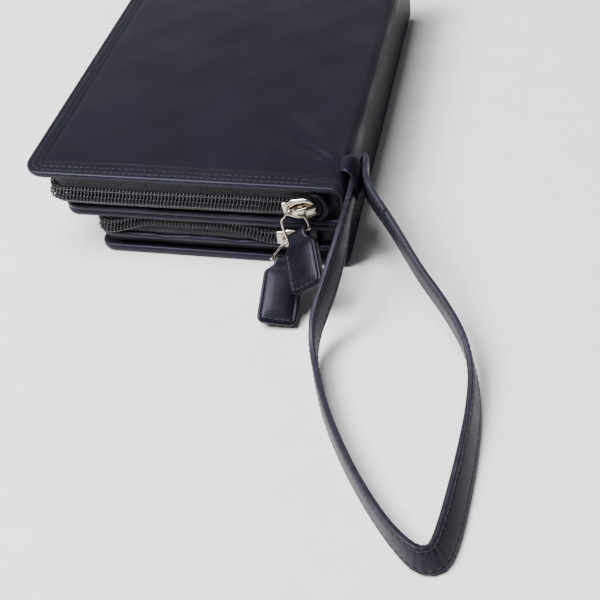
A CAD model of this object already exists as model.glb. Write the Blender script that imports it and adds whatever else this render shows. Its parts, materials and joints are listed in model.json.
"""Looks of the double-zip wristlet wallet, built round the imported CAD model.

Lengths in this script are in millimetres in the CAD frame (X towards the spine, Y away from the
strap end, Z up) and become metres when a mesh is made.
"""

import json
import math

import bmesh
import bpy
import numpy as np
from mathutils import Matrix, Vector


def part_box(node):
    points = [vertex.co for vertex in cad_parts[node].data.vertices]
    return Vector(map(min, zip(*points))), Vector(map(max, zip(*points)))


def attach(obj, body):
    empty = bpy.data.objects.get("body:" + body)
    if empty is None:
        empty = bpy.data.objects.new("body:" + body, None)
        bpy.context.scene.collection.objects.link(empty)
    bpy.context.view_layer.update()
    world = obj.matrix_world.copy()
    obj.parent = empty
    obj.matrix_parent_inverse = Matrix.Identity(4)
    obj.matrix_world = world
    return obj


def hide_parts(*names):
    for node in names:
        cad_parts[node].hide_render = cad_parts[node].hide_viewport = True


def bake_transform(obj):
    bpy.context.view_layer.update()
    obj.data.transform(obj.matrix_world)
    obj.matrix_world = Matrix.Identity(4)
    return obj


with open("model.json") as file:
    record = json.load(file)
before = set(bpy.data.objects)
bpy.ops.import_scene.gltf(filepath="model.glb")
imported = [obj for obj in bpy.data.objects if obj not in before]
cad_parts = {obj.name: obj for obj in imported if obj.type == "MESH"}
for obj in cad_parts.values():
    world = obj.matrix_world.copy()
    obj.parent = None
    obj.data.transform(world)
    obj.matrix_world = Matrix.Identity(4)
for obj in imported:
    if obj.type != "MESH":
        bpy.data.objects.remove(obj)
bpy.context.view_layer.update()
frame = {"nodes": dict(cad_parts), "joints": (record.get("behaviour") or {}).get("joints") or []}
MM = 0.001


def box_mm(node):
    low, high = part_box(node)
    return np.array(low) / MM, np.array(high) / MM


# ---- places read from the CAD model ----

panel_low, panel_high = box_mm("front_panel")
LEFT_FRONT, HALF, TOP = panel_low[0], panel_high[1], panel_high[2]
FRONT_Z0 = box_mm("front_lip")[0][2]
SPINE_X = box_mm("spine_upper")[1][0]
LEFT_MID = box_mm("divider_upper_skin")[0][0]
SPINE_IN = box_mm("divider_upper_skin")[1][0]
DIV_Z0 = box_mm("divider_lower_skin")[0][2]
DIV_Z1 = box_mm("divider_upper_skin")[1][2]
LEFT_BACK = box_mm("back_panel")[0][0]
BACK_FLOOR = box_mm("back_panel")[1][2]
LIP_Z0, LIP_Z1 = box_mm("back_lip")[0][2], box_mm("back_lip")[1][2]
SPINE_T = SPINE_X - SPINE_IN
JOINT = {j["name"]: j for j in frame["joints"]}


def joint_mm(name):
    return np.array(JOINT[name]["pos_m"]) / MM


COVER_FOLD = joint_mm("cover_fold")
COVER_R = SPINE_X - COVER_FOLD[0]
FOOT_R = 4.0
SEAM_Z = 24.0            # height of the join between the two spine leathers


# ---- materials ----

class Nodes:
    """Small helper that makes and joins shader nodes."""

    def __init__(self, name):
        self.material = bpy.data.materials.new(name)
        self.material.use_nodes = True
        self.tree = self.material.node_tree
        self.shader = self.tree.nodes["Principled BSDF"]
        self.coords = self.add("ShaderNodeTexCoord").outputs["Object"]

    def add(self, kind, **values):
        node = self.tree.nodes.new(kind)
        for key, value in values.items():
            setattr(node, key, value)
        return node

    def link(self, a, b):
        self.tree.links.new(a, b)

    def mapped(self, scale):
        node = self.add("ShaderNodeMapping")
        self.link(self.coords, node.inputs["Vector"])
        node.inputs["Scale"].default_value = scale
        return node.outputs["Vector"]

    def noise(self, scale, detail=4.0, rough=0.5, stretch=None):
        node = self.add("ShaderNodeTexNoise")
        node.inputs["Scale"].default_value = scale
        node.inputs["Detail"].default_value = detail
        node.inputs["Roughness"].default_value = rough
        self.link(self.mapped(stretch) if stretch else self.coords, node.inputs["Vector"])
        return node.outputs["Fac"]

    def cells(self, scale):
        node = self.add("ShaderNodeTexVoronoi", feature="F1")
        node.inputs["Scale"].default_value = scale
        self.link(self.coords, node.inputs["Vector"])
        return node.outputs["Distance"]

    def waves(self, scale, direction):
        node = self.add("ShaderNodeTexWave", bands_direction=direction)
        node.inputs["Scale"].default_value = scale
        node.inputs["Detail Scale"].default_value = 2.0
        self.link(self.coords, node.inputs["Vector"])
        return node.outputs["Fac"]

    def attribute(self, name):
        return self.add("ShaderNodeAttribute", attribute_name=name).outputs["Fac"]

    def math(self, operation, a, b=None):
        node = self.add("ShaderNodeMath", operation=operation)
        for value, socket in ((a, node.inputs[0]), (b, node.inputs[1])):
            if value is None:
                continue
            if isinstance(value, (int, float)):
                socket.default_value = value
            else:
                self.link(value, socket)
        return node.outputs[0]

    def spread(self, value, low, high, out_low=0.0, out_high=1.0):
        node = self.add("ShaderNodeMapRange")
        self.link(value, node.inputs["Value"])
        for name, number in (("From Min", low), ("From Max", high),
                             ("To Min", out_low), ("To Max", out_high)):
            node.inputs[name].default_value = number
        return node.outputs["Result"]

    def mix(self, factor, a, b):
        node = self.add("ShaderNodeMix", data_type="RGBA")
        self.link(factor, node.inputs["Factor"])
        for value, socket in ((a, node.inputs["A"]), (b, node.inputs["B"])):
            if isinstance(value, tuple):
                socket.default_value = (*value, 1.0)
            else:
                self.link(value, socket)
        return node.outputs["Result"]

    def bump(self, height, strength, distance, before=None):
        node = self.add("ShaderNodeBump")
        node.inputs["Strength"].default_value = strength
        node.inputs["Distance"].default_value = distance
        self.link(height, node.inputs["Height"])
        if before is not None:
            self.link(before, node.inputs["Normal"])
        return node.outputs["Normal"]

    def finish(self, color=None, rough=None, normal=None, **fixed):
        for value, socket in ((color, "Base Color"), (rough, "Roughness"), (normal, "Normal")):
            if value is None:
                continue
            if isinstance(value, (int, float)):
                self.shader.inputs[socket].default_value = value
            elif isinstance(value, tuple):
                self.shader.inputs[socket].default_value = (*value, 1.0)
            else:
                self.link(value, self.shader.inputs[socket])
        for key, value in fixed.items():
            self.shader.inputs[key.replace("_", " ")].default_value = value
        return self.material


def leather(name, dark, light, rough=(0.37, 0.43), grain=0.16, folds=0.06, shine=0.5,
            spine_shine=None):
    """Smooth finished leather: fine pebbled grain, slow tone changes, worn edges."""
    n = Nodes(name)
    patches = n.spread(n.noise(34.0, 3.0), 0.32, 0.7)
    fine = n.noise(2600.0, 2.0)
    pores = n.cells(1500.0)
    wear = n.math("MULTIPLY", n.attribute("wear"), n.spread(n.noise(420.0, 3.0), 0.35, 0.65))
    tone = n.mix(patches, dark, light)
    worn = tuple(min(1.0, c * 1.9 + 0.006) for c in light)
    color = n.mix(n.math("MULTIPLY", wear, 0.55), tone, worn)
    roughness = n.math("ADD", n.spread(n.noise(160.0, 4.0, 0.6), 0.3, 0.7, *rough),
                       n.math("MULTIPLY", wear, 0.08))
    height = n.math("ADD", n.math("MULTIPLY", pores, 0.8), n.math("MULTIPLY", fine, 0.4))
    normal = n.bump(height, grain, 0.00016)
    if folds:
        soft = n.noise(95.0, 3.0, 0.55)
        normal = n.bump(soft, folds, 0.0006, normal)
    material = n.finish(color, roughness, normal, IOR=1.4, Specular_IOR_Level=shine,
                        Specular_Tint=(0.78, 0.74, 1.0, 1.0))
    if spine_shine is not None:
        # The spine's face is more matt than the panel
        across = n.add("ShaderNodeSeparateXYZ")
        n.link(n.coords, across.inputs["Vector"])
        n.link(n.spread(across.outputs["X"], 0.0648, 0.0669, shine, spine_shine),
               n.shader.inputs["Specular IOR Level"])
    return material


def woven(name, dark, light, pitch, strength=0.7, rough=0.8, sheen=0.25):
    """Ribbed weave, pitch millimetres from one thread to the next."""
    n = Nodes(name)
    scale = 0.5 / (pitch * MM) / math.pi
    across = n.math("ADD", n.waves(scale, "X"), n.waves(scale, "Y"))
    along = n.waves(scale, "Z")
    threads = n.math("MULTIPLY", across, n.math("ADD", n.math("MULTIPLY", along, 0.6), 0.5))
    fuzz = n.noise(5000.0, 2.0)
    color = n.mix(n.spread(n.math("ADD", threads, fuzz), 0.4, 2.0), dark, light)
    height = n.math("ADD", threads, n.math("MULTIPLY", fuzz, 0.5))
    return n.finish(color, n.spread(fuzz, 0.3, 0.7, rough - 0.06, rough + 0.08),
                    n.bump(height, strength, 0.00018), Sheen_Weight=sheen,
                    Sheen_Roughness=0.5)


def plastic(name, dark, light):
    """Nylon of the coils, slightly uneven and satin."""
    n = Nodes(name)
    fine = n.noise(1800.0, 3.0)
    return n.finish(n.mix(n.spread(fine, 0.3, 0.7), dark, light),
                    n.spread(n.noise(900.0, 2.0), 0.3, 0.7, 0.27, 0.42),
                    n.bump(fine, 0.1, 0.00008), Specular_IOR_Level=0.55)


def metal(name):
    """Polished nickel with faint wiping marks and dulled patches."""
    n = Nodes(name)
    marks = n.noise(1400.0, 5.0, 0.6, (1.0, 6.0, 1.0))
    patches = n.noise(380.0, 3.0)
    color = n.mix(n.spread(patches, 0.35, 0.7), (0.4, 0.35, 0.29), (0.58, 0.53, 0.46))
    return n.finish(color, n.spread(marks, 0.3, 0.7, 0.12, 0.26), n.bump(marks, 0.05, 0.00005),
                    Metallic=1.0)


def board(name):
    n = Nodes(name)
    fibres = n.noise(700.0, 6.0, 0.7, (1.0, 3.0, 1.0))
    return n.finish(n.mix(n.spread(fibres, 0.3, 0.7), (0.3, 0.26, 0.22), (0.46, 0.42, 0.36)),
                    n.spread(fibres, 0.3, 0.7, 0.8, 0.95), n.bump(fibres, 0.3, 0.0001))


def floor_material():
    n = Nodes("floor")
    grain = n.noise(60.0, 3.0)
    return n.finish(n.mix(n.spread(grain, 0.3, 0.7), (0.86, 0.86, 0.86), (0.9, 0.9, 0.9)), 0.7)


LEATHER = leather("leather_smooth", (0.0042, 0.0041, 0.0078), (0.0066, 0.0063, 0.0115),
                  shine=0.38, spine_shine=0.025)
LEATHER_STRAP = leather("leather_strap", (0.0095, 0.0092, 0.0140), (0.0150, 0.0142, 0.0210),
                        rough=(0.38, 0.5), grain=0.2, folds=0.15, shine=0.34)
LEATHER_TAB = leather("leather_tab", (0.0030, 0.0030, 0.0050), (0.005, 0.0048, 0.0076),
                      rough=(0.3, 0.42), grain=0.12, folds=0.2, shine=0.28)
LEATHER_DARK = leather("leather_band", (0.002, 0.002, 0.0032), (0.004, 0.004, 0.006),
                       rough=(0.5, 0.65), shine=0.4)
TAPE = woven("zip_tape_weave", (0.006, 0.006, 0.010), (0.022, 0.021, 0.032), 0.5)
LINING = woven("lining_weave", (0.016, 0.016, 0.024), (0.04, 0.04, 0.055), 0.35, 0.5, 0.7, 0.35)
COIL = plastic("coil_nylon", (0.009, 0.009, 0.013), (0.018, 0.018, 0.024))
THREAD = woven("thread", (0.006, 0.006, 0.010), (0.020, 0.020, 0.030), 0.25, 0.5, 0.6, 0.1)
NICKEL = metal("nickel")
BOARD = board("stiffener_board")


# ---- meshes ----

def mesh_piece(name, verts, faces, material, wear=None, merge=False):
    """Mesh object from points in millimetres, its normals turned outwards."""
    mesh = bpy.data.meshes.new(name)
    points = np.asarray(verts, float) * MM
    mesh.from_pydata([tuple(p) for p in points], [], [tuple(int(i) for i in f) for f in faces])
    if wear is not None:
        mesh.attributes.new("wear", "FLOAT", "POINT").data.foreach_set(
            "value", np.asarray(wear, np.float32))
    work = bmesh.new()
    work.from_mesh(mesh)
    if merge:
        bmesh.ops.remove_doubles(work, verts=work.verts, dist=1e-7)
    bmesh.ops.recalc_face_normals(work, faces=work.faces)
    work.to_mesh(mesh)
    work.free()
    mesh.polygons.foreach_set("use_smooth", [True] * len(mesh.polygons))
    mesh.materials.append(material)
    piece = bpy.data.objects.new(name, mesh)
    bpy.context.scene.collection.objects.link(piece)
    return piece


def lattice(rows, columns, start=0, wrap_rows=False, wrap_columns=False):
    """Faces of a grid of points stored row by row."""
    faces = []
    for i in range(rows if wrap_rows else rows - 1):
        for j in range(columns if wrap_columns else columns - 1):
            a, b = i * columns, ((i + 1) % rows) * columns
            k = (j + 1) % columns
            faces.append((start + a + j, start + a + k, start + b + k, start + b + j))
    return faces


def capped(rows, columns):
    """Faces of a closed skin of rings, with a cap at either end."""
    last = (rows - 1) * columns
    return lattice(rows, columns, wrap_columns=True) + [
        tuple(range(columns - 1, -1, -1)), tuple(last + k for k in range(columns))]


def two_sided(rows, columns):
    """Faces of a ply: one grid of points, the same grid for its other side, and the rim."""
    n = rows * columns
    faces = lattice(rows, columns)
    faces += [tuple(n + i for i in f[::-1]) for f in faces]
    rim = [i * columns for i in range(rows)] + [n - columns + j for j in range(1, columns)] \
        + [i * columns + columns - 1 for i in range(rows - 2, -1, -1)] \
        + list(range(columns - 2, 0, -1))
    return faces + [(a, b, n + b, n + a) for a, b in zip(rim, rim[1:] + rim[:1])]


def settle(piece, slot, body, *nodes):
    """Give a piece its slot, its body and the CAD nodes that it stands for."""
    if nodes:
        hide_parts(*nodes)
    if body:
        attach(piece, body)


class Bundle:
    """Many small shapes gathered into one mesh."""

    def __init__(self):
        self.verts, self.faces, self.count = [], [], 0

    def add(self, verts, faces):
        verts = np.asarray(verts, float).reshape(-1, 3)
        self.verts.append(verts)
        self.faces += [tuple(i + self.count for i in f) for f in faces]
        self.count += len(verts)

    def piece(self, name, material):
        return mesh_piece(name, np.concatenate(self.verts), self.faces, material)


def unit(v):
    v = np.asarray(v, float)
    return v / np.maximum(np.linalg.norm(v, axis=-1, keepdims=True), 1e-12)


def tangents(path, closed=False):
    if closed:
        return unit(np.roll(path, -1, 0) - np.roll(path, 1, 0))
    return unit(np.gradient(path, axis=0))


def tube(path, radius, sides, side_dir, closed=False, flat=1.0):
    """Round (or flattened) tube along a path. side_dir is a direction off the path, per point."""
    path = np.asarray(path, float)
    ahead = tangents(path, closed)
    side = np.asarray(side_dir, float)
    side = unit(side - ahead * np.sum(side * ahead, 1, keepdims=True))
    other = np.cross(ahead, side)
    angle = np.linspace(0, 2 * math.pi, sides, endpoint=False)
    radius = np.broadcast_to(np.asarray(radius, float), (len(path),))[:, None, None]
    ring = (np.cos(angle)[None, :, None] * side[:, None, :] * flat
            + np.sin(angle)[None, :, None] * other[:, None, :])
    verts = (path[:, None, :] + radius * ring).reshape(-1, 3)
    if closed:
        return verts, lattice(len(path), sides, wrap_rows=True, wrap_columns=True)
    return verts, capped(len(path), sides)


def smooth_path(points, steps, closed=False):
    """Catmull-Rom curve through points, steps pieces to a span."""
    points = np.asarray(points, float)
    n = len(points)
    out = []
    t = np.linspace(0, 1, steps, endpoint=False)[:, None]
    for i in range(n if closed else n - 1):
        if closed:
            a, b, c, d = (points[(i + k) % n] for k in (-1, 0, 1, 2))
        else:
            a, b, c, d = points[max(i - 1, 0)], points[i], points[i + 1], points[min(i + 2, n - 1)]
        out.append(0.5 * (2 * b + (c - a) * t + (2 * a - 5 * b + 4 * c - d) * t * t
                          + (3 * b - a - 3 * c + d) * t ** 3))
    if not closed:
        out.append(points[-1:])
    return np.concatenate(out)


def ease(x, a, b):
    """0 before a, 1 after b, smooth between."""
    t = np.clip((np.asarray(x, float) - a) / (b - a), 0, 1)
    return t * t * (3 - 2 * t)


def ripple(x, y, waves):
    """Sum of slanted sine waves: (size, length in mm, direction in degrees, phase)."""
    total = 0.0
    for size, length, direction, phase in waves:
        a = math.radians(direction)
        total = total + size * np.sin((x * math.cos(a) + y * math.sin(a)) * 2 * math.pi / length
                                      + phase)
    return total


SOFT_WAVES = [(0.10, 61, 20, 0.4), (0.08, 37, 75, 1.7), (0.05, 23, 130, 2.9), (0.04, 17, 35, 0.9)]


# ---- turned-edge leather: three rounded sides, open or plain at the spine ----

CORNER_STEPS = 9


def outline(y0, r, inset, ps, ys):
    """Points (p, y) of the three-sided outline, moved in by inset."""
    points = [(p, -y0 + inset) for p in ps[::-1]]
    for k in range(1, CORNER_STEPS):
        a = math.radians(270 - 90 * k / CORNER_STEPS)
        points.append((r + (r - inset) * math.cos(a), -y0 + r + (r - inset) * math.sin(a)))
    points += [(inset, y) for y in ys]
    for k in range(1, CORNER_STEPS):
        a = math.radians(180 - 90 * k / CORNER_STEPS)
        points.append((r + (r - inset) * math.cos(a), y0 - r + (r - inset) * math.sin(a)))
    points += [(p, y0 - inset) for p in ps]
    return points


def turned_sheet(name, material, y0, r, ps, ys, rings, bend, lift=None, hollow=False):
    """Sheet with turned, rounded edges. rings lists (inset, depth, wear, share), from the inner
    face round the edge to the outer face; depth may be a function of p, and share is how much of
    the lift a ring takes. bend(p, y, depth) places a
    point. lift(p, y) raises the outer face. hollow leaves out the middle of the sheet."""
    points, depth, wear, outer = [], [], [], []
    for inset, deep, worn, share in rings:
        for p, y in outline(y0, r, inset, ps, ys):
            points.append((p, y))
            depth.append(deep(p) if callable(deep) else deep)
            wear.append(worn)
            outer.append(share)
    columns = len(outline(y0, r, 0, ps, ys))
    faces = lattice(len(rings), columns, wrap_rows=hollow)
    if not hollow:
        for ring in (rings[0], rings[-1]):
            inset, deep, worn, share = ring
            start = len(points)
            for p in ps:
                for y in ys:
                    points.append((p, y))
                    depth.append(deep(p) if callable(deep) else deep)
                    wear.append(worn)
                    outer.append(share)
            faces += lattice(len(ps), len(ys), start)
    points, depth, outer = np.array(points), np.array(depth, float), np.array(outer, float)
    if lift is not None:
        depth = depth - outer * lift(points[:, 0], points[:, 1])
    xyz = bend(points[:, 0], points[:, 1], depth)
    return mesh_piece(name, xyz, faces, material, wear, merge=not hollow)


def span(a, b, step):
    return list(np.linspace(a, b, max(2, int(round((b - a) / step)) + 1)))


def joined(*lists):
    out = list(lists[0])
    for more in lists[1:]:
        out += list(more)[1:]
    return out


# ---- front cover, running on over the top shoulder and down the spine ----

COVER_R_PLAN = 9.0
FLAT = COVER_FOLD[0] - LEFT_FRONT
ARC = COVER_R * math.pi / 2
COVER_P1 = FLAT + ARC + (TOP - COVER_R - SEAM_Z)
PINCH = np.array([FLAT + 3.0, -86.0])       # where the strap pulls at the cover, as (p, y)


def bend_cover(p, y, depth):
    a = np.clip((p - FLAT) / COVER_R, 0, math.pi / 2)
    past = np.maximum(p - FLAT - ARC, 0)
    x = LEFT_FRONT + np.minimum(p, FLAT) + (COVER_R - depth) * np.sin(a)
    z = TOP - COVER_R + (COVER_R - depth) * np.cos(a) - past
    return np.stack([x, y, z], -1)


def cover_thick(p):
    return float(np.interp(p, [FLAT - 2, FLAT + 3], [TOP - FRONT_Z0, SPINE_T]))


def cover_under(p):
    return float(np.interp(p, [FLAT - 4, FLAT + 1], [1.35, SPINE_T]))


def cover_lift(p, y):
    """Soft dome, creases that fan out from the strap, and slow unevenness."""
    u = np.clip((p - FLAT * 0.5) / (FLAT * 0.5), -1, 1)
    v = y / HALF
    dome = 0.9 * (1 - u ** 2) * (1 - np.abs(v) ** 3)
    d = np.stack([p, y], -1) - PINCH
    far = np.linalg.norm(d, axis=-1)
    angle = np.degrees(np.arctan2(d[:, 1], -d[:, 0]))
    fan = 0.0
    for centre, width, height, reach in ((14, 7, 0.5, 30), (33, 6, -0.55, 36), (48, 7, 0.8, 44),
                                         (66, 7, -0.6, 36), (82, 6, 0.5, 30), (100, 9, -0.4, 26)):
        fan = fan + height * np.exp(-((angle - centre) / width) ** 2) * np.exp(-far / reach)
    fan = fan * ease(far, 2.0, 14.0) * ease(far, 95, 45)
    pull = -0.9 * np.exp(-(far / 9.0) ** 2)
    slow = ripple(p, y, SOFT_WAVES)
    fade = ease(p, COVER_P1 - 2, COVER_P1 - 7) * ease(np.minimum(y + HALF, HALF - y), 0.5, 9.0)
    edge = ease(p, 1.0, 12.0)
    return (dome + slow + fan) * fade * edge + pull * ease(p, COVER_P1 - 2, COVER_P1 - 7)


def edge_rings(thick, under, r):
    """Rings of a turned edge, from the inner face round to the outer face."""
    rings = [(r, under, 0, 0), (3.7, under, 0, 0),
             (3.6, lambda p: thick(p) - 0.1, 0, 0), (3.3, thick, 0, 0), (1.0, thick, 0.3, 0),
             (0.45, lambda p: thick(p) - 0.12, 0.8, 0), (0.12, lambda p: thick(p) - 0.5, 1, 0),
             (0.0, lambda p: 0.5 * thick(p), 0.6, 0.5), (0.08, 0.62, 1, 1), (0.34, 0.2, 1, 1),
             (0.8, 0.03, 0.7, 1), (1.5, 0.0, 0.1, 1)]
    # The two stitch rows lie in shallow grooves, and a deeper one closes the border
    rings += [(2.1, 0.03, 0, 1), (2.5, 0.16, 0, 1), (2.9, 0.03, 0, 1), (3.8, -0.06, 0, 1),
              (4.7, 0.03, 0, 1), (5.2, 0.16, 0, 1), (5.7, 0.04, 0, 1), (6.6, 0.06, 0, 1),
              (7.2, 0.34, 0, 1), (7.9, 0.16, 0, 1)]
    return rings + [(r, 0.0, 0, 1)]


cover_ps = joined(span(COVER_R_PLAN, 78, 2.4), span(78, FLAT, 1.3), span(FLAT, FLAT + ARC, 0.65),
                  span(FLAT + ARC, COVER_P1, 1.0))
cover_ys = joined(span(-HALF + COVER_R_PLAN, -40, 1.25), span(-40, HALF - COVER_R_PLAN, 2.6))
cover = turned_sheet("front_cover_leather", LEATHER, HALF, COVER_R_PLAN, cover_ps, cover_ys,
                     edge_rings(cover_thick, cover_under, COVER_R_PLAN), bend_cover, cover_lift)
settle(cover, "leather", None, "front_panel", "front_lip", "spine_upper")
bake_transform(cover)


# ---- back panel, running on round the foot and up the spine ----

BACK_R_PLAN = 6.0
BACK_FLAT = SPINE_X - FOOT_R - LEFT_BACK
BACK_ARC = FOOT_R * math.pi / 2
BACK_P1 = BACK_FLAT + BACK_ARC + (SEAM_Z - FOOT_R)


def bend_back(p, y, depth):
    a = np.clip((p - BACK_FLAT) / FOOT_R, 0, math.pi / 2)
    past = np.maximum(p - BACK_FLAT - BACK_ARC, 0)
    x = LEFT_BACK + np.minimum(p, BACK_FLAT) + (FOOT_R - depth) * np.sin(a)
    z = FOOT_R - (FOOT_R - depth) * np.cos(a) + past
    return np.stack([x, y, z], -1)


def back_thick(p):
    return float(np.interp(p, [BACK_FLAT - 4, BACK_FLAT + 3], [BACK_FLOOR, SPINE_T]))


back_rings = [(BACK_R_PLAN, back_thick, 0, 0), (3.0, back_thick, 0, 0),
              (1.0, lambda p: back_thick(p) - 0.03, 0.6, 0),
              (0.45, lambda p: back_thick(p) - 0.2, 1, 0),
              (0.12, lambda p: back_thick(p) - 0.6, 1, 0),
              (0.0, lambda p: 0.55 * back_thick(p), 0.6, 0),
              (0.06, 0.9, 0.6, 0), (0.3, 0.35, 0.8, 0),
              (0.8, 0.06, 0.6, 0), (1.5, 0.0, 0.1, 0), (2.2, 0.02, 0, 0), (2.5, 0.14, 0, 0),
              (2.8, 0.02, 0, 0), (BACK_R_PLAN, 0.0, 0, 0)]
back_ps = joined(span(BACK_R_PLAN, BACK_FLAT, 3.0), span(BACK_FLAT, BACK_FLAT + BACK_ARC, 0.65),
                 span(BACK_FLAT + BACK_ARC, BACK_P1, 1.0))
back_ys = span(-HALF + BACK_R_PLAN, HALF - BACK_R_PLAN, 3.0)
back = turned_sheet("back_panel_leather", LEATHER, HALF, BACK_R_PLAN, back_ps, back_ys,
                    back_rings, bend_back)
settle(back, "leather", None, "back_panel", "spine_lower")
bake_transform(back)


# ---- divider leathers, back lip and band ----

def flat_bend(left, z, up):
    def bend(p, y, depth):
        return np.stack([left + p, y, z - depth if up else z + depth], -1)
    return bend


def plain_rings(thick, r, bead=0.0):
    """Turned edge of a plain leather ply of that thickness."""
    return [(r, thick, 0, 0), (3.4, thick, 0, 0), (1.0, thick, 0.2, 0),
            (0.4, thick - 0.1, 0.6, 0), (0.08, thick - 0.4, 0.5, 0), (0.0, 0.5 * thick, 0.5, 0.5),
            (0.12, 0.5, 0.9, 1), (0.45, 0.12 - bead, 1, 1), (0.95, 0.0 - bead, 0.7, 1),
            (1.6, 0.0, 0.1, 1), (2.3, 0.02, 0, 1), (2.6, 0.14, 0, 1), (2.9, 0.02, 0, 1),
            (r, 0.0, 0, 1)]


MID_R = 7.0
DIV_MID = 0.5 * (DIV_Z0 + DIV_Z1)
LIP_WAVES = [(0.22, 46, 12, 0.3), (0.12, 21, 28, 1.1), (0.07, 9.5, 15, 2.2)]
div_ps = span(MID_R, SPINE_IN - 0.1 - LEFT_MID, 3.0)
div_ys = span(-HALF + MID_R, HALF - MID_R, 3.0)


def near_edge(p, y, width):
    return ease(np.minimum(np.minimum(y + HALF, HALF - y), p), width, 0.2)


for label, z, up in (("divider_upper_leather", DIV_Z1, True),
                     ("divider_lower_leather", DIV_Z0, False)):
    def div_lift(p, y):
        size = 1.1 if up else 0.5
        return ripple(p + (0 if up else 31), y, LIP_WAVES) * near_edge(p, y, 7) * size
    skin = turned_sheet(label, LEATHER, HALF, MID_R, div_ps, div_ys,
                        plain_rings(DIV_Z1 - DIV_MID - 0.06, MID_R, 0.08),
                        flat_bend(LEFT_MID, z, up), div_lift)
    settle(skin, "leather", "divider", "divider_upper_skin" if up else "divider_lower_skin")

LIP_R = 8.1
lip_ps = span(LIP_R, SPINE_IN - LEFT_BACK - 0.1, 1.8)
lip_ys = span(-HALF + LIP_R, HALF - LIP_R, 1.8)
lip_t = LIP_Z1 - LIP_Z0
lip_rings = [(7.8, 0.3, 0, 1), (7.8, lip_t - 0.3, 0, 0), (7.2, lip_t, 0, 0), (1.0, lip_t, 0.2, 0),
             (0.4, lip_t - 0.15, 0.5, 0), (0.05, lip_t - 0.6, 0.5, 0), (0.0, 0.5 * lip_t, 0.5, 0.5),
             (0.12, 0.5, 1, 1), (0.5, 0.1, 1, 1), (1.1, 0.0, 0.8, 1), (1.9, 0.08, 0.2, 1),
             (3.0, 0.25, 0, 1), (7.2, 0.1, 0, 1)]


def back_lip_lift(p, y):
    return ripple(p, y, [(0.26, 33, 8, 1.9), (0.16, 14, 20, 0.3), (0.12, 8.2, 5, 2.0)]) \
        * near_edge(p, y, 7)


lip = turned_sheet("back_lip_leather", LEATHER, HALF, LIP_R, lip_ps, lip_ys, lip_rings,
                   flat_bend(LEFT_BACK, LIP_Z1, True), back_lip_lift, hollow=True)
settle(lip, "leather", "back_section", "back_lip")

band_low, band_high = box_mm("back_band")
band_r = 4.0
band_ps = span(band_r, band_high[0] - band_low[0], 1.3)
band_ys = span(band_low[1] + band_r, band_high[1] - band_r, 1.3)
band_t = band_high[2] - band_low[2]
band_rings = [(2.2, 0.0, 0, 0), (2.2, band_t, 0, 0)] + [
    (0.55 - 0.45 * math.sin(math.pi * k / 6), band_t * (1 - k / 6), 0, 0) for k in range(7)]


def band_bend(p, y, depth):
    """The band creases a little along its length."""
    crease = ripple(p, y, [(0.25, 27, 10, 0.6), (0.18, 11, 75, 1.4)])
    side = np.clip(np.abs(y) / band_high[1], 0, 1) ** 20
    return np.stack([band_low[0] + p, y * (1 - 0.004 * crease * side), band_high[2] - depth], -1)


band = turned_sheet("back_band_leather", LEATHER_DARK, band_high[1], band_r, band_ps, band_ys,
                    band_rings, band_bend, hollow=True)
settle(band, "leather_edge", "back_section", "back_band")


# ---- stitches ----

def stitch_row(bundle, path, normals, pitch=2.7, share=0.74, radius=0.2, sink=0.12):
    """Short threads along a path that lie on the surface and dip in at both ends."""
    path, normals = np.asarray(path, float), np.asarray(normals, float)
    run = np.concatenate([[0], np.cumsum(np.linalg.norm(np.diff(path, axis=0), axis=1))])
    count = int(run[-1] / pitch)
    for i in range(count):
        s = (i + 0.5 * (1 - share) + share * np.array([0, 0.16, 0.5, 0.84, 1.0])) * pitch
        at = np.stack([np.interp(s, run, path[:, k]) for k in range(3)], -1)
        up = unit(np.stack([np.interp(s, run, normals[:, k]) for k in range(3)], -1))
        at = at + up * (radius * np.array([-1.3, 0.35, 0.6, 0.35, -1.3])[:, None] - sink)
        verts, faces = tube(at, radius * np.array([0.7, 1, 1.05, 1, 0.7]), 5, up)
        bundle.add(verts, faces)


def cover_line(ps_line, ys_line, sink_depth=0.14):
    """Path and outward direction on the outer face of the cover."""
    p, y = np.asarray(ps_line, float), np.asarray(ys_line, float)
    on = bend_cover(p, y, sink_depth - cover_lift(p, y))
    under = bend_cover(p, y, sink_depth + 1 - cover_lift(p, y))
    return on, unit(on - under)


STITCH_END = FLAT - 10.5                    # where the border's stitches stop, near the spine
cover_stitches = Bundle()
for inset in (2.5, 5.2):
    for side in (-1, 1):
        r_in = COVER_R_PLAN - inset
        p_run = np.arange(STITCH_END, COVER_R_PLAN, -1.0)
        a = np.radians(np.linspace(270, 180, 12))
        p_line = np.concatenate([p_run, COVER_R_PLAN + r_in * np.cos(a)])
        y_line = np.concatenate([np.full(len(p_run), -HALF + inset),
                                 -HALF + COVER_R_PLAN + r_in * np.sin(a)])
        if inset < 3:
            more = np.arange(-HALF + COVER_R_PLAN, 0.1, 1.0)
            p_line = np.concatenate([p_line, np.full(len(more), inset)])
            y_line = np.concatenate([y_line, more])
        stitch_row(cover_stitches, *cover_line(p_line, -side * y_line if side > 0 else y_line))
# Two short rows close the border stitching off next to the spine
for shift in (0.0, 2.2):
    for side in (-1, 1):
        y_line = side * np.linspace(HALF - 2.3, HALF - 5.6, 6)
        stitch_row(cover_stitches, *cover_line(np.full(6, STITCH_END + shift), y_line), pitch=1.6)
settle(cover_stitches.piece("front_cover_stitching", THREAD), "leather", "front_cover")


# ---- zips ----

CHAIN_Y = HALF - 0.7
PITCH = 1.5
COIL_STEPS = 10                             # points to a turn
COIL_WIDE, COIL_DEEP, COIL_WIRE = 1.52, 0.82, 0.36    # half sizes of a turn, radius of its wire


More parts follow.
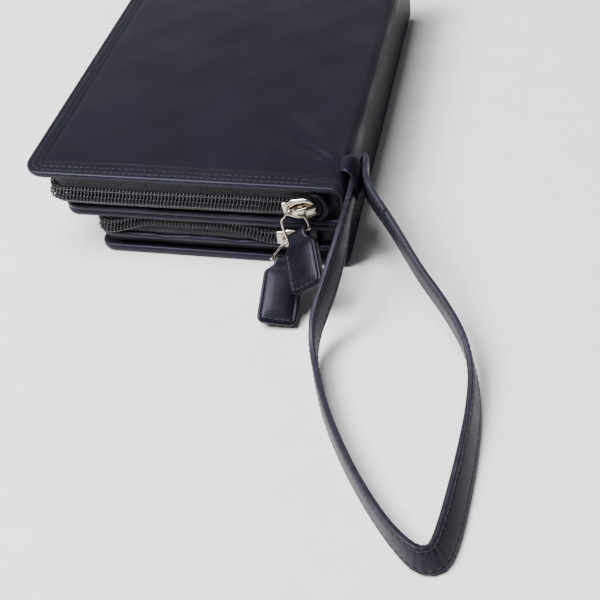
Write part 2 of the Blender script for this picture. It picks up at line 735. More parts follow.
def zip_route(left, r, x_end, step):
    """Stations along a zip: place, outward direction, and run from the near end."""
    y = CHAIN_Y
    straight = x_end - left - r
    side = 2 * (y - r)
    turn = r * math.pi / 2
    total = 2 * straight + 2 * turn + side
    s = np.arange(0, total, step)
    pos, out = np.zeros((len(s), 3)), np.zeros((len(s), 3))
    for i, d in enumerate(s):
        if d < straight:
            pos[i], out[i] = (x_end - d, -y, 0), (0, -1, 0)
        elif d < straight + turn:
            a = math.radians(270) - (d - straight) / r
            out[i] = (math.cos(a), math.sin(a), 0)
            pos[i] = (left + r + r * out[i][0], -y + r + r * out[i][1], 0)
        elif d < straight + turn + side:
            pos[i], out[i] = (left, -y + r + d - straight - turn, 0), (-1, 0, 0)
        elif d < straight + 2 * turn + side:
            a = math.radians(180) - (d - straight - turn - side) / r
            out[i] = (math.cos(a), math.sin(a), 0)
            pos[i] = (left + r + r * out[i][0], y - r + r * out[i][1], 0)
        else:
            pos[i] = (left + r + d - straight - 2 * turn - side, y, 0)
            out[i] = (0, 1, 0)
    return pos, out, s, straight, turn, side


UP = np.array([0.0, 0.0, 1.0])


def front_chain(pos):
    """Outward shift, height and lean of the front chain at each station."""
    x = pos[:, 0]
    calm = ease(x, 41, 30)
    shift = 0.25 + 0.75 * calm
    height = 30.3 + 0.25 * np.sin(x / 17.0) * calm
    return shift, height, np.radians(4 + 11 * calm)


def rear_chain(pos):
    """The rear chain wanders: up under the divider in the middle of the near end."""
    x = pos[:, 0]
    near = ease(pos[:, 1], -75, -96)
    hump = ease(x, -36, -14) * ease(x, 37, 12) * near
    shift = 0.3 - 2.0 * hump
    height = 13.6 + 0.6 * ease(x, 34, 40) * near + 3.9 * hump \
        + 0.5 * np.sin(pos[:, 1] / 19.0) * (1 - near)
    return shift, height, np.radians(8 - 4 * hump)


def chain_frame(pos, out, chain):
    shift, height, lean = chain(pos)
    centre = pos + out * shift[:, None] + UP * height[:, None]
    u = UP * np.cos(lean)[:, None] - out * np.sin(lean)[:, None]
    v = out * np.cos(lean)[:, None] + UP * np.sin(lean)[:, None]
    return centre, u, v


def coil_half(name, left, r, x_end, chain, side, body, node):
    """Half of a coil: a flattened helix and the two sewing threads that hold it."""
    pos, out, s, *_ = zip_route(left, r, x_end, PITCH / COIL_STEPS)
    centre, u, v = chain_frame(pos, out, chain)
    a = 2 * math.pi * s / PITCH + (0 if side > 0 else math.pi)
    cu = side * (COIL_WIDE + 0.06) + COIL_WIDE * np.cos(a)
    cv = COIL_DEEP * np.sin(a)
    path = centre + u * cu[:, None] + v * cv[:, None]
    radial = u * np.cos(a)[:, None] + v * np.sin(a)[:, None]
    bundle = Bundle()
    bundle.add(*tube(path, COIL_WIRE, 5, radial))
    keep = slice(None, None, 3)
    thread_path = centre[keep] + u[keep] * (side * 2.35) \
        + v[keep] * (COIL_DEEP + COIL_WIRE + 0.1 * np.cos(a[keep]))[:, None]
    bundle.add(*tube(thread_path, 0.17, 4, v[keep]))
    settle(bundle.piece(name, COIL), "zip_coil", body, node)


def bezier(a, b, c, d, n):
    t = np.linspace(0, 1, n)[:, None, None]
    return ((1 - t) ** 3 * a + 3 * (1 - t) ** 2 * t * b + 3 * (1 - t) * t * t * c + t ** 3 * d)


def tape_strip(name, left, r, x_end, chain, side, lip_z, lip_shift, body, node, sag=0.0):
    """Woven tape from the leather border to the middle of the chain, 0.5 mm thick."""
    pos, out, s, *_ = zip_route(left, r, x_end, 2.0)
    centre, u, v = chain_frame(pos, out, chain)
    start = pos + out * lip_shift + UP * lip_z
    edge = centre + u * (side * 3.5) - v * 0.9
    middle = centre + u * (side * 0.15) - v * 1.15
    down = -UP * side
    reach = np.linalg.norm(edge - start, axis=1)[:, None]
    rows = bezier(start, start + down * reach * 0.45 + out * sag, edge + u * side * reach * 0.3,
                  edge, 9)
    rows = np.concatenate([rows, middle[None]])
    across = np.gradient(rows, axis=0)
    along = np.gradient(rows, axis=1)
    normal = unit(np.cross(along, across))
    loop = np.concatenate([rows + normal * 0.22, (rows - normal * 0.22)[::-1]])
    verts = loop.transpose(1, 0, 2)
    n, m = verts.shape[:2]
    settle(mesh_piece(name, verts.reshape(-1, 3), capped(n, m), TAPE), "zip_tape", body, node)


FRONT_RUN = box_mm("front_zip_upper_tape")[0][0] + 0.3
REAR_RUN = box_mm("rear_zip_lower_tape")[0][0] + 0.3
COIL_END = box_mm("front_zip_upper_coil")[1][0]
TAPE_END = box_mm("front_zip_lower_tape")[1][0]
FRONT_R, REAR_R = 7.0, 6.0

FRONT_ZIP = (FRONT_RUN, FRONT_R)
REAR_ZIP = (REAR_RUN, REAR_R)
for half, side, body in (("upper", 1, "front_cover"), ("lower", -1, "divider")):
    coil_half(f"front_zip_{half}_coil_turns", *FRONT_ZIP, COIL_END + 1, front_chain, side, body,
              f"front_zip_{half}_coil")
for half, side, body in (("upper", 1, "divider"), ("lower", -1, "back_section")):
    coil_half(f"rear_zip_{half}_coil_turns", *REAR_ZIP, COIL_END - 2, rear_chain, side, body,
              f"rear_zip_{half}_coil")
for half, run, chain, side, lip_z, lip_shift, body, sag in (
        ("front_zip_upper", FRONT_ZIP, front_chain, 1, FRONT_Z0 + 0.4, -1.3, "front_cover", 0.0),
        ("front_zip_lower", FRONT_ZIP, front_chain, -1, DIV_Z1 - 0.2, -1.6, "divider", 0.0),
        ("rear_zip_upper", REAR_ZIP, rear_chain, 1, DIV_Z0 + 0.2, -2.6, "divider", 0.0),
        ("rear_zip_lower", REAR_ZIP, rear_chain, -1, LIP_Z1 - 0.2, -1.5, "back_section", 0.5)):
    tape_strip(half + "_tape_weave", *run, TAPE_END, chain, side, lip_z, lip_shift, body,
               half + "_tape", sag)


# ---- wrist strap ----

STRAP_W, STRAP_T = 10.0, 2.2
STRAP_SEAM = 1.5                            # stitches to the strap's edge
STRAP_MID = SPINE_X + 0.2 + STRAP_T / 2
STRAP_Z = 31.5
LOW = STRAP_Z - STRAP_W / 2
# Middle line of the whole strap: x, y, height of the lower edge, lean of the upper edge
LOOP = [
    (STRAP_MID - 0.3, -100.7, LOW, 0), (STRAP_MID, -105.6, LOW, 2), (68.4, -114.2, 26, 9),
    (67.6, -124.4, 22.7, 16), (65.7, -133.4, 16.3, 18), (63.8, -140.4, 11.1, 14),
    (62.5, -146.8, 6, 9), (63.1, -154.7, 2.2, 4), (66.8, -166.5, 0.7, 1), (72.2, -180, 0.2, 0),
    (79.4, -194, 0.2, 0), (87.7, -207.5, 0.2, 0), (96.4, -219.4, 0.2, -1),
    (103.2, -227, 0.2, -5), (109, -231.6, 0.2, -14), (113.4, -231.9, 0.2, -27),
    (116.6, -228.6, 0.2, -38), (118.6, -220, 0.2, -41), (120.2, -207, 0.2, -38),
    (121.6, -191, 0.4, -32), (122.2, -175, 1, -24), (121, -159.5, 2.4, -15),
    (116.6, -146, 5.4, -8), (108.8, -134.2, 9.8, -7), (98.2, -121.5, 14.8, -7),
    (88.2, -108, 20.2, -7), (82.6, -100.2, 22.6, -6)]
ROOT = [
    (82.6, -100.2, 22.6, -6), (78.0, -94.2, 24.2, -5), (74.4, -88.6, 25.7, -2),
    (72.2, -83.6, LOW, 0), (71.4, -79, LOW, 0), (71.0, -74.6, LOW, 0), (70.6, -72.6, LOW, 0),
    (69.7, -71.8, LOW, 0), (68.7, -72.6, LOW, 0), (68.2, -74.6, LOW, 0),
    (STRAP_MID - 0.3, -79, LOW, 0), (STRAP_MID - 0.4, -86, LOW, 0),
    (STRAP_MID - 0.3, -94, LOW, 0), (STRAP_MID - 0.3, -100.7, LOW, 0)]


def strap_line(route, before, after, steps):
    """Centre line and cross directions of a stretch of strap, with its neighbours' points."""
    route = np.array([before] + list(route) + [after], float)
    lean = np.radians(route[:, 3])
    centre = route[:, 2] + STRAP_W / 2 * np.abs(np.cos(lean)) + STRAP_T / 2 * np.abs(np.sin(lean))
    full = smooth_path(np.column_stack([route[:, 0], route[:, 1], centre, route[:, 3]]), steps)
    ahead = tangents(full[:, :3])
    keep = slice(steps, len(full) - steps)
    outward = unit(np.cross(ahead, UP))
    upward = np.cross(outward, ahead)
    lean = np.radians(full[:, 3])[:, None]
    wide = np.cos(lean) * upward + np.sin(lean) * outward
    return full[keep, :3], wide[keep], np.cross(ahead, wide)[keep]


def strap_section():
    """Half of the cross-section's points: (share of width, share of thickness, wear)."""
    w, t = STRAP_W / 2, STRAP_T / 2
    face = [(-w + 0.62, t), (-w + 1.25, t + 0.02), (-w + 1.5, t - 0.1), (-w + 1.75, t + 0.02),
            (-w + 2.4, t + 0.1), (0, t + 0.14), (w - 2.4, t + 0.1), (w - 1.75, t + 0.02),
            (w - 1.5, t - 0.1), (w - 1.25, t + 0.02), (w - 0.62, t)]
    edge = [(w - 0.25, t - 0.14), (w - 0.04, t - 0.45), (w, 0.22), (w - 0.06, 0.0), (w, -0.22),
            (w - 0.04, -t + 0.45), (w - 0.25, -t + 0.14)]
    back_face = [(a, -b) for a, b in face[::-1]]
    back_edge = [(-a, -b) for a, b in edge]
    ring = face + edge + back_face + back_edge
    wear = [0.0] * 11 + [1, 1, 0.3, 0.3, 0.3, 1, 1] + [0.0] * 11 + [1, 1, 0.3, 0.3, 0.3, 1, 1]
    return np.array(ring), wear


def strap_piece(node, route, before, after, steps, wrinkle):
    """Stretch of the strap and its stitches, passing from one body to the other along Y."""
    name = node + "_leather"
    line, wide, thick = strap_line(route, before, after, steps)
    ring, worn = strap_section()
    bend = wrinkle(line)
    verts = (line[:, None, :] + ring[None, :, 0, None] * wide[:, None, :]
             + (ring[None, :, 1, None] * (1 + bend[:, None, None])) * thick[:, None, :])
    n, m = verts.shape[:2]
    piece = mesh_piece(name, verts.reshape(-1, 3), capped(n, m), LEATHER_STRAP, list(worn) * n)
    bundle = Bundle()
    for edge in (-1, 1):
        seam = line + wide * edge * (STRAP_W / 2 - STRAP_SEAM)
        for face in (-1, 1):
            stitch_row(bundle, seam + thick * face * (STRAP_T / 2 - 0.02), thick * face,
                       2.7, 0.76, 0.2, 0.06)
    stitches = bundle.piece(name + "_stitching", THREAD)
    settle(piece, "strap_leather", None, node)
    settle(stitches, "strap_leather", None)
    for p in (piece, stitches):
        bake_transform(p)


def loop_wrinkles(line):
    """Small creases where the strap turns sharply at its far end."""
    near = np.exp(-(np.linalg.norm(line[:, :2] - np.array([112.5, -231.0]), axis=1) / 7) ** 2)
    run = np.cumsum(np.r_[0, np.linalg.norm(np.diff(line, axis=0), axis=1)])
    return 0.16 * near * np.sin(run * 2.6)


strap_piece("wrist_strap", LOOP, ROOT[-2], ROOT[1], 8, loop_wrinkles)
strap_piece("strap_root", ROOT, LOOP[-2], LOOP[1], 5, lambda line: np.zeros(len(line)))


# ---- keeper over the strap, on the shoulder of the spine ----

def keeper_piece():
    """Leather flap sewn over the strap. It grows out of the cover's shoulder, and its near edge
    slants down and forward."""
    path = smooth_path([(62.0, 38.0), (63.6, 39.2), (65.4, 39.75), (67.4, 38.95), (69.0, 37.2),
                        (69.85, 35.0), (70.1, 32.0), (69.7, 28.8), (68.6, 26.2), (66.9, 24.2)], 5)
    n = len(path)
    ahead = tangents(np.column_stack([path, np.zeros(n)]))[:, :2]
    out = np.column_stack([-ahead[:, 1], ahead[:, 0]])
    out = out * np.sign(np.sum(out * (path - np.array([62, 31])), 1))[:, None]
    t = np.linspace(0, 1, n)
    near = np.interp(t, [0, 0.22, 0.32, 0.5, 0.62, 0.8, 1],
                     [-87, -88.6, -89.6, -93.6, -93.2, -90, -87])
    far = np.full(n, -76.0)
    thick = 1.15
    ring = [(0.8, 0), (0.3, 0.12), (0.03, 0.42), (0.0, 0.6), (0.08, 0.95), (0.4, thick)]
    verts, wear = [], []
    for i in range(n):
        sec = [(near[i] + a, thick - b, w) for (a, b), w in zip(ring, (0.4, 1, 1, 0.7, 0.3, 0))]
        sec += [(far[i] - a, thick - b, w) for (a, b), w in zip(ring[::-1], (0, 0, 0, 0, 0, 0))]
        top = sec[0]
        middle = [((1 - k) * top[0] + k * (far[i] - 0.8), thick + 0.35 * math.sin(math.pi * k), 0)
                  for k in (0.2, 0.4, 0.6, 0.8)]
        sec = sec[:6][::-1] + middle + sec[6:][::-1]
        for y, h, w in sec:
            p = path[i] + out[i] * (h - 0.4 - 1.2 * ease((y + 79.5) / 3.5, 0, 1))
            verts.append((p[0], y, p[1]))
            wear.append(w)
    m = len(ring) * 2 + 4
    settle(mesh_piece("strap_keeper_leather", verts, capped(n, m), LEATHER, wear), "leather",
           "divider", "strap_keeper")


keeper_piece()


# ---- soft end panels next to the spine ----

GUSSET_STEPS, GUSSET_T = 26, 0.9


def gusset_piece(node, side, x0, z0, z1, body, fold):
    """Leather end panel with slanting folds, between the compartments' borders. It rides on one
    body, or stretches between the back section and the divider."""
    name = node + "_leather"
    x1 = SPINE_IN + 0.6
    grid = []
    for x in np.linspace(x0, x1, GUSSET_STEPS):
        u = (x - x0) / (x1 - x0)
        for z in np.linspace(z0, z1, GUSSET_STEPS):
            v = (z - z0) / (z1 - z0)
            slant = u * 0.8 - v
            depth = 1.2 + 2.6 * math.sin(math.pi * min(max(v, 0), 1)) * (1 - 0.55 * u)
            depth += fold * 0.75 * math.sin(slant * 9.0) * math.sin(math.pi * v)
            depth += fold * 0.4 * math.sin((u + v * 0.4) * 13.0) * math.sin(math.pi * v) * u
            grid.append((x, side * (HALF - depth), z))
    grid = np.array(grid)
    inner = grid - np.array([0, side * GUSSET_T, 0])
    piece = mesh_piece(name, np.concatenate([grid, inner]), two_sided(GUSSET_STEPS, GUSSET_STEPS),
                       LEATHER_DARK)
    settle(piece, "leather", body, node)
    if not body:
        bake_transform(piece)


for end, side in (("near", -1), ("far", 1)):
    gusset_piece("rear_gusset_" + end, side, 50.5, 2.6, DIV_Z0 + 1.2, None, 1.0)
for end, side, x0 in (("near", -1, 55.0), ("far", 1, 52.0)):
    gusset_piece("front_gusset_" + end, side, x0, DIV_Z1 - 1.0, 38.3, "divider", 0.35)


# ---- zip ends and stops ----

def flat_tube(bundle, path, radius, sides, flat):
    """Tube whose flat sides face along Y, added to a bundle."""
    bundle.add(*tube(path, radius, sides, np.tile([0.0, 1.0, 0.0], (len(path), 1)), flat=flat))


ROLL_AT = (54.7, -HALF + 0.6, 30.2)
ROLL_R = 4.5

# Rolled end of the front tape, curving round next to the spine, with the tape's tongue inside
roll = Bundle()
a = np.radians(np.linspace(108, -112, 26))
arc = np.column_stack([ROLL_AT[0] + ROLL_R * np.cos(a), ROLL_AT[1] - 0.4 * np.cos(a),
                       ROLL_AT[2] + ROLL_R * 1.25 * np.sin(a)])
flat_tube(roll, arc, 1.15 * (1 - 0.35 * np.abs(np.linspace(-1, 1, 26)) ** 3), 10, 0.75)
a = np.radians(np.linspace(80, -86, 20))
tongue = np.column_stack([ROLL_AT[0] - 0.4 + ROLL_R * 0.52 * np.cos(a),
                          np.full(20, ROLL_AT[1] - 0.2), ROLL_AT[2] + ROLL_R * 0.95 * np.sin(a)])
flat_tube(roll, tongue, np.sin(np.linspace(0.35, math.pi - 0.35, 20)), 10, 0.8)
settle(roll.piece("front_zip_end_roll", LEATHER_DARK), "zip_tape", "divider", "front_zip_end")

# Curled end of the rear tape
curled = Bundle()
mid = 0.5 * sum(box_mm("rear_zip_end"))
a = np.radians(np.linspace(-200, 90, 24))
flat_tube(curled, np.column_stack([mid[0] + 1.5 * np.cos(a), np.full(24, mid[1]),
                                   mid[2] + 1.5 * np.sin(a)]), 0.45, 8, 2.2)
settle(curled.piece("rear_zip_end_fold", TAPE), "zip_tape", "divider", "rear_zip_end")


def rounded_box(bundle, low, high, r):
    """Box with rounded edges, added to a bundle."""
    work = bmesh.new()
    bmesh.ops.create_cube(work, size=1.0)
    low, high = np.asarray(low, float), np.asarray(high, float)
    for v in work.verts:
        v.co = Vector((low + high) / 2 + np.array(v.co) * (high - low))
    bmesh.ops.bevel(work, geom=work.edges[:], offset=r, segments=3, profile=0.5,
                    affect="EDGES")
    work.verts.index_update()
    verts = [tuple(v.co) for v in work.verts]
    faces = [tuple(v.index for v in f.verts) for f in work.faces]
    work.free()
    bundle.add(verts, faces)


for node in ("front_zip_stop", "rear_zip_stop"):
    low, high = box_mm(node)
    bundle = Bundle()
    rounded_box(bundle, low, high, 0.3)
    for k in (-1, 1):
        rounded_box(bundle, [low[0] - 0.25, low[1], (low[2] + high[2]) / 2 + k * 1.1 - 0.25],
                    [high[0] + 0.25, high[1] - 0.2, (low[2] + high[2]) / 2 + k * 1.1 + 0.25], 0.12)
    settle(bundle.piece(node + "_clamp", NICKEL), "nickel", "divider", node)


# ---- sliders ----

SLIDER_GAP = 2.4                            # between the two plates
LINK_WIRE_R, LINK_HALF_BAR = 0.52, 6.1      # in the drawn link


def plate_outline(length, mouth, wide):
    """Plate seen from outside: narrow at the closed chain on the left, widening to a round end."""
    r = wide / 2
    centre = length / 2 - r
    points = [(-length / 2, -mouth / 2), (-length / 2, mouth / 2),
              (-length / 2 + 2.2, mouth / 2 + 0.25), (-length / 2 + 4.4, r * 0.86)]
    for k in range(0, 15):
        a = math.radians(104 - 208 * k / 14)
        points.append((centre + r * math.cos(a), r * math.sin(a)))
    points += [(-length / 2 + 4.4, -r * 0.86), (-length / 2 + 2.2, -mouth / 2 - 0.25)]
    return points


def add_plate(bundle, at, turn, points, y0, y1, rim):
    """Plate with rounded edges, between y0 (outer) and y1 (inner)."""
    points = np.array(points)
    middle = points.mean(0)
    rings = []
    for share, y in ((0.0, y0), (0.75, y0), (1 - rim, y0 + 0.05), (1 - rim * 0.35, y0 + 0.22),
                     (1.0, y0 + 0.55), (1.0, y1 - 0.2), (1 - rim * 0.5, y1), (0.0, y1)):
        q = middle + (points - middle) * share
        rings.append(np.column_stack([q[:, 0], np.full(len(q), y), q[:, 1]]))
    verts = np.concatenate(rings) @ turn.T + at
    bundle.add(verts, lattice(len(rings), len(points), wrap_columns=True))


def slider_piece(name, body, node, at, tilt):
    """Zip slider: two plates, turned-in side rims, web, and the arched crown for the link."""
    a = math.radians(tilt)
    turn = np.array([[math.cos(a), 0, -math.sin(a)], [0, 1, 0], [math.sin(a), 0, math.cos(a)]])
    bundle = Bundle()
    gap = SLIDER_GAP / 2
    add_plate(bundle, at, turn, plate_outline(13.6, 5.4, 8.8), -gap - 1.5, -gap - 0.3, 0.1)
    add_plate(bundle, at, turn, plate_outline(13.2, 5.0, 7.4), gap + 1.5, gap + 0.3, 0.1)

    def add(path, *more, **named):
        verts, faces = tube(path, *more, **named)
        bundle.add(verts @ turn.T + at, faces)

    # Side rims turned in over the coil
    for side in (-1, 1):
        rim = smooth_path([(x, -gap - 0.5, side * z) for x, z in
                           ((-6.6, 2.55), (-4.6, 2.9), (-2.4, 3.9), (0.4, 4.1), (3.0, 4.05),
                            (5.0, 3.2), (6.2, 1.6))], 4)
        add(rim, 0.6, 8, np.tile([0.0, 1.0, 0.0], (len(rim), 1)), flat=1.45)
    web = Bundle()
    rounded_box(web, [1, -gap - 0.4, -0.4], [4.5, gap + 0.5, 0.4], 0.15)
    bundle.add(np.concatenate(web.verts) @ turn.T + at, web.faces)
    # Crown: a broad arched cap over the link, with a foot at either end
    arch = smooth_path([(-4.3, -1.5, 0.1), (-3.8, -2.6, 0.2), (-2.2, -4.3, 0.4), (0.4, -5.3, 0.5),
                        (3.0, -5.0, 0.5), (5.0, -3.8, 0.35), (6.0, -2.4, 0.1), (6.1, -1.5, 0)], 5)
    n = len(arch)
    broad = np.interp(np.linspace(0, 1, n), [0, 0.25, 0.55, 0.85, 1], [0.9, 1.25, 2.1, 2.2, 1.5])
    ahead = tangents(arch)
    z_dir = np.tile([0.0, 0.0, 1.0], (n, 1))
    z_dir = unit(z_dir - ahead * np.sum(z_dir * ahead, 1, keepdims=True))
    lift = np.cross(z_dir, ahead)
    angle = np.linspace(0, 2 * math.pi, 16, endpoint=False)
    ring = (np.sign(np.cos(angle)) * np.abs(np.cos(angle)) ** 0.8)[None, :, None] \
        * z_dir[:, None, :] * broad[:, None, None] \
        + np.sin(angle)[None, :, None] * lift[:, None, :] * 0.62
    verts = (arch[:, None, :] + ring).reshape(-1, 3) @ turn.T + at
    bundle.add(verts, capped(n, 16))
    settle(bundle.piece(name, NICKEL), "nickel", body, node)


FRONT_PIVOT = joint_mm("front_link_swing")
REAR_PIVOT = joint_mm("rear_link_swing")
FRONT_BAR = joint_mm("front_tab_swing")
REAR_BAR = joint_mm("rear_tab_swing")
slider_piece("front_slider_body", "front_slider", "front_slider",
             np.array([FRONT_PIVOT[0], -CHAIN_Y - 0.3, FRONT_PIVOT[2] + 0.5]), 7)
slider_piece("rear_slider_body", "rear_slider", "rear_slider",
             np.array([REAR_PIVOT[0], -CHAIN_Y, REAR_PIVOT[2]]), -4)


def link_piece(name, body, node, pivot, bar, bar_dir, bows):
    """Bent wire loop from the crown to the fold of the tab. bows lists points of the left leg
    and then of the right leg, from the crown down, as offsets from the pivot."""
    bar_dir = unit(bar_dir)
    right, left = bar + bar_dir * LINK_HALF_BAR, bar - bar_dir * LINK_HALF_BAR
    legs = [[pivot + np.array(p) for p in leg] for leg in bows]
    points = [pivot + np.array([-1.2, 0.1, 0.5]), pivot + np.array([1.2, 0.1, 0.3]), *legs[1],
              right + (pivot - right) * 0.12, right - bar_dir * 1.0, bar, left + bar_dir * 1.0,
              left + (pivot - left) * 0.1 - bar_dir * 0.2, *legs[0][::-1]]
    path = smooth_path(points, 9, closed=True)
    facing = unit(np.cross(bar_dir, bar - pivot))
    verts, faces = tube(path, LINK_WIRE_R, 10, np.tile(facing, (len(path), 1)), closed=True)
    settle(mesh_piece(name, verts, faces, NICKEL), "nickel", body, node)


front_dir = -np.array(JOINT["front_tab_swing"]["axis"], float)
rear_dir = -np.array(JOINT["rear_tab_swing"]["axis"], float)
link_piece("front_pull_link_wire", "front_link", "front_pull_link", FRONT_PIVOT, FRONT_BAR,
           front_dir, [[(-3.2, -0.7, 1.6), (-5.2, -1.4, -0.6), (-6.4, -2.0, -3.6)],
                       [(2.6, -0.6, -0.7), (4.0, -1.8, -2.2)]])
link_piece("rear_pull_link_wire", "rear_link", "rear_pull_link", REAR_PIVOT, REAR_BAR,
           rear_dir, [[(-3.4, -1.0, 0.2), (-5.0, -3.6, -0.4)],
                      [(3.6, -1.4, 0.0), (5.4, -4.2, -1.4)]])


# ---- pull tabs ----

# Half width, half thickness and half width of the neck, radius of the fold round the crossbar,
# stitches to the edge, and length of the rounded lower corners
TAB_HALF, TAB_HALF_THICK, TAB_NECK_HALF = 7.75, 1.4, 4.3
FOLD_R, TAB_SEAM, TAB_CORNER = 2.15, 1.7, 2.6


def tab_section(w, t, dome, groove):
    """Ring round the tab at one height: (x, y, wear), from the left edge over the front face."""
    inset = min(TAB_SEAM, w * 0.45)
    face = [(-w + 0.5, t), (-w + inset - 0.35, t), (-w + inset, t - groove),
            (-w + inset + 0.35, t), (-w + inset + 1.1, t + dome * 0.6), (-w * 0.3, t + dome),
            (0, t + dome * 1.1), (w * 0.3, t + dome), (w - inset - 1.1, t + dome * 0.6),
            (w - inset - 0.35, t), (w - inset, t - groove), (w - inset + 0.35, t), (w - 0.5, t)]
    edge = [(w - 0.16, t - 0.2), (w, t * 0.45), (w - 0.08, 0), (w, -t * 0.45), (w - 0.16, -t + 0.2)]
    back_side = [(x, -y) for x, y in face[::-1]]
    other = [(-x, -y) for x, y in edge]
    wear = [0.4] + [0] * 11 + [0.4] + [1, 0.6, 0.1, 0.6, 1]
    return np.array(face + edge + back_side + other), wear + wear


def tab_piece(name, body, node, bar, turn, long):
    """Leather tab folded round the link's crossbar, stitched along its edges."""
    width, thick, neck = TAB_HALF, TAB_HALF_THICK, TAB_NECK_HALF
    zs = np.concatenate([FOLD_R * np.cos(np.linspace(0.25, math.pi / 2, 8)),
                         np.linspace(-0.4, -7.0, 12), np.linspace(-7.8, -long + TAB_CORNER, 16),
                         -long + TAB_CORNER - TAB_CORNER * np.sin(np.linspace(0.12, 1.5, 9))])
    rings, wear = [], []
    for z in zs:
        if z > -1.6:
            w = neck
        elif z > -6.6:
            w = neck + (width - neck) * float(ease(-z, 1.6, 6.6))
        else:
            w = width
        short = max(0.0, -long + TAB_CORNER - z) / TAB_CORNER
        w = w - TAB_CORNER * (1 - math.sqrt(max(0.0, 1 - short ** 2)))
        t = math.sqrt(max(FOLD_R ** 2 - z * z, 0.02)) if z > 0 else \
            FOLD_R + (thick - FOLD_R) * float(ease(-z, 0.0, 4.5))
        t = t - 0.35 * max(0.0, short - 0.55) / 0.45
        groove = 0.16 * float(ease(-z, 5.5, 7.5)) * float(ease(z, -long + 1.4, -long + 2.2))
        dome = 0.42 * float(ease(-z, 3.0, 8.0)) * float(ease(z, -long + 1.0, -long + 6.0))
        section, worn = tab_section(max(w, 0.6), max(t, 0.3), dome, groove)
        curve = 0.5 * ((z + 3) / long) ** 2
        rings.append(np.column_stack([section[:, 0], section[:, 1] + curve,
                                      np.full(len(section), z)]))
        wear += worn
    faces = capped(len(rings), len(rings[0]))
    verts = np.concatenate(rings)
    bundle = Bundle()
    side = width - TAB_SEAM
    line = [(-side, z) for z in np.linspace(-6.6, -long + 3.4, 10)] \
        + [(-side + 1.8 * (1 - math.cos(a)), -long + 3.4 - 1.8 * math.sin(a))
           for a in np.linspace(0.2, math.pi / 2, 5)] \
        + [(x, -long + 1.6) for x in np.linspace(-side + 2.2, side - 2.2, 6)] \
        + [(side - 1.8 * (1 - math.cos(a)), -long + 3.4 - 1.8 * math.sin(a))
           for a in np.linspace(math.pi / 2, 0.2, 5)] \
        + [(side, z) for z in np.linspace(-long + 3.4, -6.6, 10)]
    line = np.array(line)
    for face in (-1, 1):
        curve = 0.5 * ((line[:, 1] + 3) / long) ** 2
        path = np.column_stack([line[:, 0], face * (thick - 0.02) + curve, line[:, 1]])
        stitch_row(bundle, path, np.tile([0, face, 0], (len(path), 1)), 2.3, 0.74, 0.19, 0.05)
    place = np.array((Matrix.Translation(Vector(bar)) @ turn).to_4x4())
    def put(points):
        return points @ place[:3, :3].T + place[:3, 3]
    settle(mesh_piece(name, put(verts), faces, LEATHER_TAB, wear), "leather", body, node)
    settle(mesh_piece(name + "_stitching", put(np.concatenate(bundle.verts)), bundle.faces,
                      THREAD), "leather", body)


def turned(x, y, z):
    """Turn about X, then Y, then Z, in degrees."""
    return Matrix.Rotation(math.radians(z), 4, "Z") @ Matrix.Rotation(math.radians(y), 4, "Y") \
        @ Matrix.Rotation(math.radians(x), 4, "X")


tab_piece("front_pull_tab_leather", "front_tab", "front_pull_tab", FRONT_BAR,
          turned(-66, -36, 4), 24.0)
tab_piece("rear_pull_tab_leather", "rear_tab", "rear_pull_tab", REAR_BAR,
          turned(-69, 9, 5), 27.0)


# ---- linings and pockets inside ----

HEM_INSET = 2.0


def soft_ply(name, node, body, material, slot, waves, hem):
    """Thin cloth or leather ply with rounded rims and a soft surface, in a node's own box."""
    low, high = box_mm(node)
    thick = high[2] - low[2]
    nx, ny = int((high[0] - low[0]) / 3) + 2, int((high[1] - low[1]) / 3) + 2
    xs, ys = np.linspace(low[0], high[0], nx), np.linspace(low[1], high[1], ny)
    verts, wear = [], []
    for side in (1, -1):
        for x in xs:
            for y in ys:
                rim = min(x - low[0], high[0] - x, y - low[1], high[1] - y)
                z = (low[2] + high[2]) / 2 + side * thick / 2 * min(1.0, 0.55 + rim * 0.3)
                z += waves * math.sin(x * 0.21 + 1.3 * math.sin(y * 0.05)) * min(1.0, rim / 8)
                verts.append((x, y, z))
                wear.append(1.0 if rim < 0.5 else 0.0)
    settle(mesh_piece(name, verts, two_sided(nx, ny), material, wear), slot, body, node)
    if hem:
        bundle = Bundle()
        path = np.array([(low[0] + HEM_INSET, y, high[2] if hem > 0 else low[2])
                         for y in np.linspace(low[1] + 3, high[1] - 3, 60)])
        stitch_row(bundle, path, np.tile([0, 0, float(hem)], (60, 1)), 3.0, 0.7, 0.17, -0.02)
        settle(bundle.piece(name + "_stitching", THREAD), slot, body)


soft_ply("back_lining_cloth", "back_lining", "back_section", LINING, "lining", 0.08, 0)
soft_ply("front_lining_cloth", "front_lining", "front_cover", LINING, "lining", 0.05, 0)
soft_ply("slip_pocket_cloth", "slip_pocket", "front_cover", LINING, "lining", 0.05, -1)
for step in ("back", "middle", "front"):
    soft_ply(f"card_pocket_{step}_ply", f"card_pocket_{step}", "divider", LEATHER, "lining",
             0.03, 1)

for node in ("back_board", "divider_board", "front_board"):
    mesh = frame["nodes"][node].data
    mesh.materials.clear()
    mesh.materials.append(BOARD)


# ---- floor, lights and camera ----

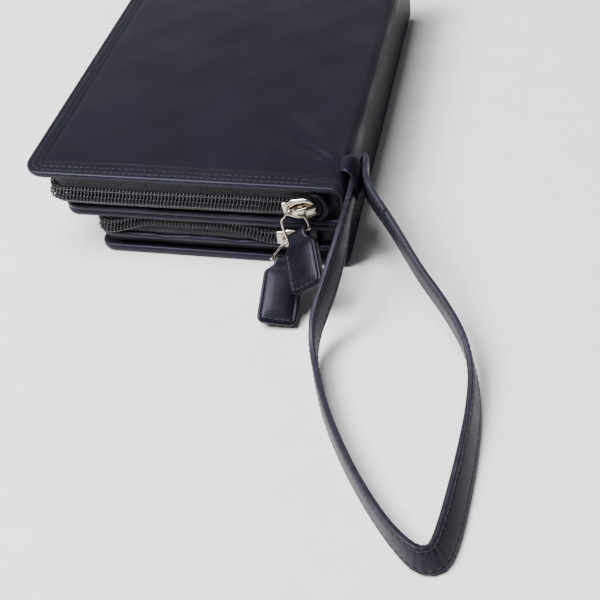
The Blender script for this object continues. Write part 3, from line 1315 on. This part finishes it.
def make_floor():
    mesh = bpy.data.meshes.new("floor")
    size, back_y, rise = 3.0, 2.6, 2.4
    profile = [(-size, 0.0), (back_y - 1.2, 0.0)]
    for k in range(1, 13):
        a = math.radians(90 * k / 12)
        profile.append((back_y - 1.2 + 1.2 * math.sin(a), 1.2 - 1.2 * math.cos(a)))
    profile.append((back_y, rise))
    verts = [(x, y, z) for y, z in profile for x in (-size, size)]
    faces = [(2 * i, 2 * i + 1, 2 * i + 3, 2 * i + 2) for i in range(len(profile) - 1)]
    mesh.from_pydata(verts, [], faces)
    mesh.polygons.foreach_set("use_smooth", [True] * len(mesh.polygons))
    mesh.materials.append(floor_material())
    floor = bpy.data.objects.new("floor", mesh)
    bpy.context.scene.collection.objects.link(floor)
    floor.location.z = -0.0002


def add_light(name, place, target, size, power):
    data = bpy.data.lights.new(name, "AREA")
    data.shape = "RECTANGLE"
    data.size, data.size_y = size
    data.energy = power
    light = bpy.data.objects.new(name, data)
    light.location = place
    light.rotation_euler = (Vector(target) - Vector(place)).to_track_quat("-Z", "Y").to_euler()
    bpy.context.scene.collection.objects.link(light)


# name, place (m), what it is aimed at, size (m), power (W)
LIGHTS = [("key", (-0.95, -0.55, 1.5), (0, -0.08, 0.02), (0.8, 0.8), 70.0),
          ("top", (-0.4, -0.1, 1.7), (0, -0.08, 0), (0.8, 0.8), 34.0),
          ("back", (-1.1, 1.5, 0.9), (-0.03, 0.0, 0.04), (0.9, 0.6), 0.5)]


def make_lights():
    world = bpy.data.worlds.new("studio")
    bpy.context.scene.world = world
    world.use_nodes = True
    background = world.node_tree.nodes["Background"]
    background.inputs["Color"].default_value = (0.9, 0.92, 1.0, 1.0)
    background.inputs["Strength"].default_value = 0.08
    for light in LIGHTS:
        add_light(*light)


LENS = 60.4                                 # mm, for a sensor 36 mm wide
CAMERA_AT = (0.1316, -0.3950, 0.2772)       # m


def make_camera():
    data = bpy.data.cameras.new("camera")
    data.sensor_width = 36.0
    data.lens = LENS
    data.clip_start = 0.01
    camera = bpy.data.objects.new("camera", data)
    right = Vector((0.97590, 0.19929, -0.08887))
    down = Vector((0.07750, -0.69728, -0.71259))
    ahead = Vector((-0.20398, 0.68853, -0.69593))
    turn = Matrix((right, -down, -ahead)).transposed().to_4x4()
    camera.matrix_world = Matrix.Translation(CAMERA_AT) @ turn
    bpy.context.scene.collection.objects.link(camera)
    bpy.context.scene.camera = camera


make_floor()
make_lights()
make_camera()
